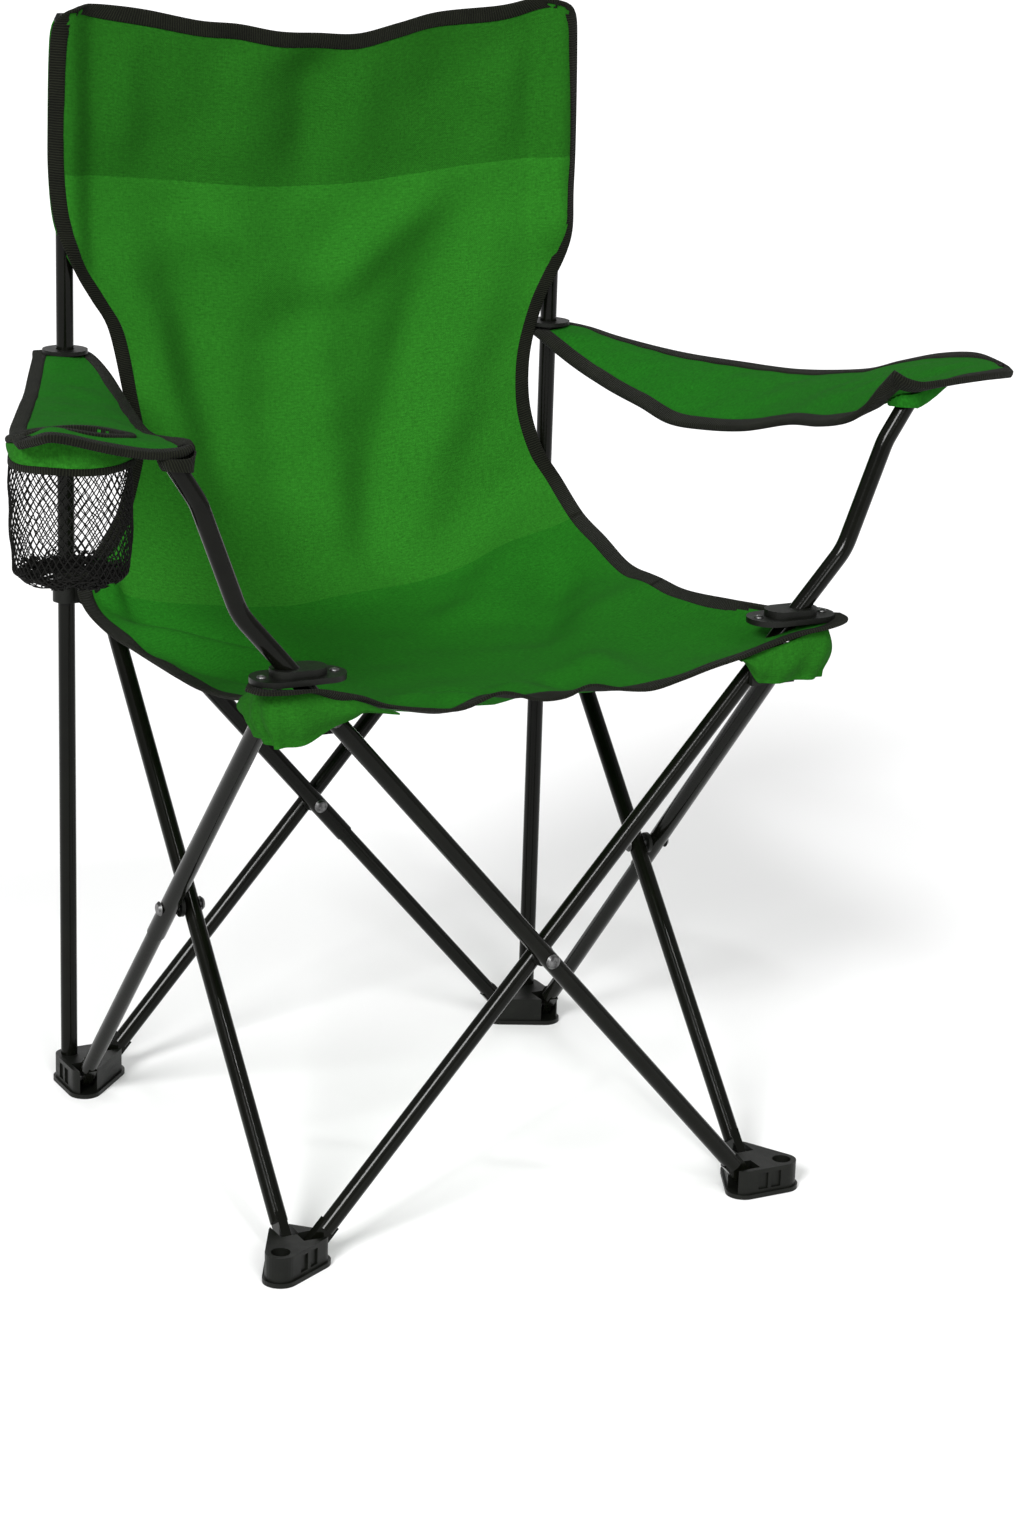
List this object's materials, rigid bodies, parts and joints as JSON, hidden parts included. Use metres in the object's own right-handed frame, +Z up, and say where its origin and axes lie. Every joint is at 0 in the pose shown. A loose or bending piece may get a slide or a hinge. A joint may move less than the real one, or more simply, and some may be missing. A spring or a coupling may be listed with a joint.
{
  "type": "folding camp chair",
  "caption": "Folding camp chair with a scissor frame of black steel tube, fabric seat and back, fabric armrests and a net cup pocket.",
  "frame": {"origin": "on the floor, in the middle of the chair's box seen from above", "axes": "+Z up, the front of the seat faces -Y, +X to the right seen from the front"},
  "size_m": [0.778, 0.4438, 0.835],
  "materials": {
    "green_fabric": "woven polyester, matte",
    "black_tube": "gloss powder coat",
    "black_plastic": "moulded, fine satin",
    "rivet": "blackened steel",
    "black_net": "knotted net"
  },
  "bodies": {
    "root": {"foot_rear_left": "black_plastic", "foot_rivets_rear_left": "rivet", "upright_left": "black_tube", "upright_cap_left": "black_plastic", "arm_plate_left": "black_plastic", "back_panel": "green_fabric", "back_yoke": "green_fabric"},
    "back_outer": {"back_tube_outer": "black_tube", "cross_rivet_back": "rivet", "cross_spacer_back": "black_plastic"},
    "back_inner": {"back_tube_inner": "black_tube", "back_tube_inner_lower": "black_tube"},
    "rear_right": {"foot_rear_right": "black_plastic", "foot_rivets_rear_right": "rivet", "upright_right": "black_tube", "upright_cap_right": "black_plastic", "arm_plate_right": "black_plastic"},
    "side_outer_left": {"side_tube_outer_left": "black_tube", "side_tube_outer_left_lower": "black_tube", "cross_rivet_left": "rivet", "cross_spacer_left": "black_plastic"},
    "side_inner_left": {"side_tube_inner_left": "black_tube"},
    "front_left_foot": {"foot_front_left": "black_plastic", "foot_rivets_front_left": "rivet"},
    "rear_left_hub": {"hub_left": "black_plastic", "hub_rivets_left": "rivet"},
    "front_left_corner": {"corner_bracket_left": "black_plastic", "corner_rivets_left": "rivet", "corner_pocket_left": "green_fabric"},
    "side_outer_right": {"side_tube_outer_right": "black_tube", "side_tube_outer_right_lower": "black_tube", "cross_rivet_right": "rivet", "cross_spacer_right": "black_plastic"},
    "side_inner_right": {"side_tube_inner_right": "black_tube"},
    "front_right_foot": {"foot_front_right": "black_plastic", "foot_rivets_front_right": "rivet"},
    "rear_right_hub": {"hub_right": "black_plastic", "hub_rivets_right": "rivet"},
    "front_right_corner": {"corner_bracket_right": "black_plastic", "corner_rivets_right": "rivet", "corner_pocket_right": "green_fabric"},
    "front_inner": {"front_tube_inner": "black_tube", "corner_plate_right": "black_plastic", "post_cap_right": "black_plastic", "cross_rivet_front": "rivet", "cross_spacer_front": "black_plastic"},
    "front_outer": {"front_tube_outer": "black_tube", "corner_plate_left": "black_plastic", "post_cap_left": "black_plastic"},
    "arm_left": {"armrest_left": "green_fabric", "cup_net": "black_net"},
    "arm_right": {"armrest_right": "green_fabric"},
    "seat_rear": {"seat_rear": "green_fabric"},
    "seat_front": {"seat_front": "green_fabric"}
  },
  "joints": [
    {"name": "fold", "type": "hinge", "parent": "root", "child": "back_outer", "pos_m": [-0.172, 0.20475, 0.014], "axis": [0, -1, 0], "range_deg": [0, 29.27], "deforming": ["back_panel", "back_yoke"]},
    {"name": "back_crossing", "type": "hinge", "parent": "back_outer", "child": "back_inner", "pos_m": [0, 0.196, 0.21], "axis": [0, 1, 0], "range_deg": [0, 58.56]},
    {"name": "rear_right_foot_pivot", "type": "hinge", "parent": "back_inner", "child": "rear_right", "pos_m": [0.172, 0.18725, 0.014], "axis": [0, -1, 0], "range_deg": [0, 29.27]},
    {"name": "side_left_foot_pivot", "type": "hinge", "parent": "root", "child": "side_outer_left", "pos_m": [-0.20475, 0.172, 0.014], "axis": [-1, 0, 0], "range_deg": [0, 29.27]},
    {"name": "side_left_crossing", "type": "hinge", "parent": "side_outer_left", "child": "side_inner_left", "pos_m": [-0.196, 0, 0.21], "axis": [1, 0, 0], "range_deg": [0, 58.56]},
    {"name": "front_left_foot_side_pivot", "type": "hinge", "parent": "side_inner_left", "child": "front_left_foot", "pos_m": [-0.18725, -0.172, 0.014], "axis": [-1, 0, 0], "range_deg": [0, 29.27]},
    {"name": "rear_left_hub_pivot", "type": "hinge", "parent": "side_inner_left", "child": "rear_left_hub", "pos_m": [-0.18725, 0.172, 0.406], "axis": [-1, 0, 0], "range_deg": [0, 29.27]},
    {"name": "front_left_corner_pivot", "type": "hinge", "parent": "side_outer_left", "child": "front_left_corner", "pos_m": [-0.20475, -0.172, 0.406], "axis": [1, 0, 0], "range_deg": [0, 29.27]},
    {"name": "side_right_foot_pivot", "type": "hinge", "parent": "rear_right", "child": "side_outer_right", "pos_m": [0.20475, 0.172, 0.014], "axis": [-1, 0, 0], "range_deg": [0, 29.27]},
    {"name": "side_right_crossing", "type": "hinge", "parent": "side_outer_right", "child": "side_inner_right", "pos_m": [0.196, 0, 0.21], "axis": [1, 0, 0], "range_deg": [0, 58.56]},
    {"name": "front_right_foot_side_pivot", "type": "hinge", "parent": "side_inner_right", "child": "front_right_foot", "pos_m": [0.18725, -0.172, 0.014], "axis": [-1, 0, 0], "range_deg": [0, 29.27]},
    {"name": "rear_right_hub_pivot", "type": "hinge", "parent": "side_inner_right", "child": "rear_right_hub", "pos_m": [0.18725, 0.172, 0.406], "axis": [-1, 0, 0], "range_deg": [0, 29.27]},
    {"name": "front_right_corner_pivot", "type": "hinge", "parent": "side_outer_right", "child": "front_right_corner", "pos_m": [0.20475, -0.172, 0.406], "axis": [1, 0, 0], "range_deg": [0, 29.27]},
    {"name": "front_left_foot_pivot", "type": "hinge", "parent": "front_left_foot", "child": "front_inner", "pos_m": [-0.172, -0.18725, 0.014], "axis": [0, -1, 0], "range_deg": [0, 29.27]},
    {"name": "front_crossing", "type": "hinge", "parent": "front_inner", "child": "front_outer", "pos_m": [0, -0.196, 0.21], "axis": [0, 1, 0], "range_deg": [0, 58.56]},
    {"name": "armrest_left_swing", "type": "hinge", "parent": "root", "child": "arm_left", "pos_m": [-0.205, 0.205, 0.578], "axis": [-0.9183, 0.2025, 0.3403], "range_deg": [0, 42.58], "deforming": ["armrest_left"]},
    {"name": "armrest_right_swing", "type": "hinge", "parent": "rear_right", "child": "arm_right", "pos_m": [0.205, 0.205, 0.578], "axis": [-0.9183, -0.2025, -0.3403], "range_deg": [0, 42.58], "deforming": ["armrest_right"]},
    {"name": "seat_rear_drop", "type": "hinge", "parent": "rear_left_hub", "child": "seat_rear", "pos_m": [0, 0.178, 0.398], "axis": [1, 0, 0], "range_deg": [0, 70.21], "deforming": ["seat_rear"]},
    {"name": "seat_front_drop", "type": "hinge", "parent": "front_left_corner", "child": "seat_front", "pos_m": [0, -0.178, 0.398], "axis": [-1, 0, 0], "range_deg": [0, 70.21], "deforming": ["seat_front"]}
  ],
  "couplings": [
    {"joint": "back_crossing", "follows": "fold", "ratio": 2},
    {"joint": "rear_right_foot_pivot", "follows": "fold", "ratio": 1},
    {"joint": "side_left_foot_pivot", "follows": "fold", "ratio": 1},
    {"joint": "side_left_crossing", "follows": "fold", "ratio": 2},
    {"joint": "front_left_foot_side_pivot", "follows": "fold", "ratio": 1},
    {"joint": "rear_left_hub_pivot", "follows": "fold", "ratio": 1},
    {"joint": "front_left_corner_pivot", "follows": "fold", "ratio": 1},
    {"joint": "side_right_foot_pivot", "follows": "fold", "ratio": 1},
    {"joint": "side_right_crossing", "follows": "fold", "ratio": 2},
    {"joint": "front_right_foot_side_pivot", "follows": "fold", "ratio": 1},
    {"joint": "rear_right_hub_pivot", "follows": "fold", "ratio": 1},
    {"joint": "front_right_corner_pivot", "follows": "fold", "ratio": 1},
    {"joint": "front_left_foot_pivot", "follows": "fold", "ratio": 1},
    {"joint": "front_crossing", "follows": "fold", "ratio": 2},
    {"joint": "armrest_left_swing", "follows": "fold", "ratio": 1.454},
    {"joint": "armrest_right_swing", "follows": "fold", "ratio": 1.454},
    {"joint": "seat_rear_drop", "follows": "fold", "ratio": 2.398},
    {"joint": "seat_front_drop", "follows": "fold", "ratio": 2.398}
  ]
}
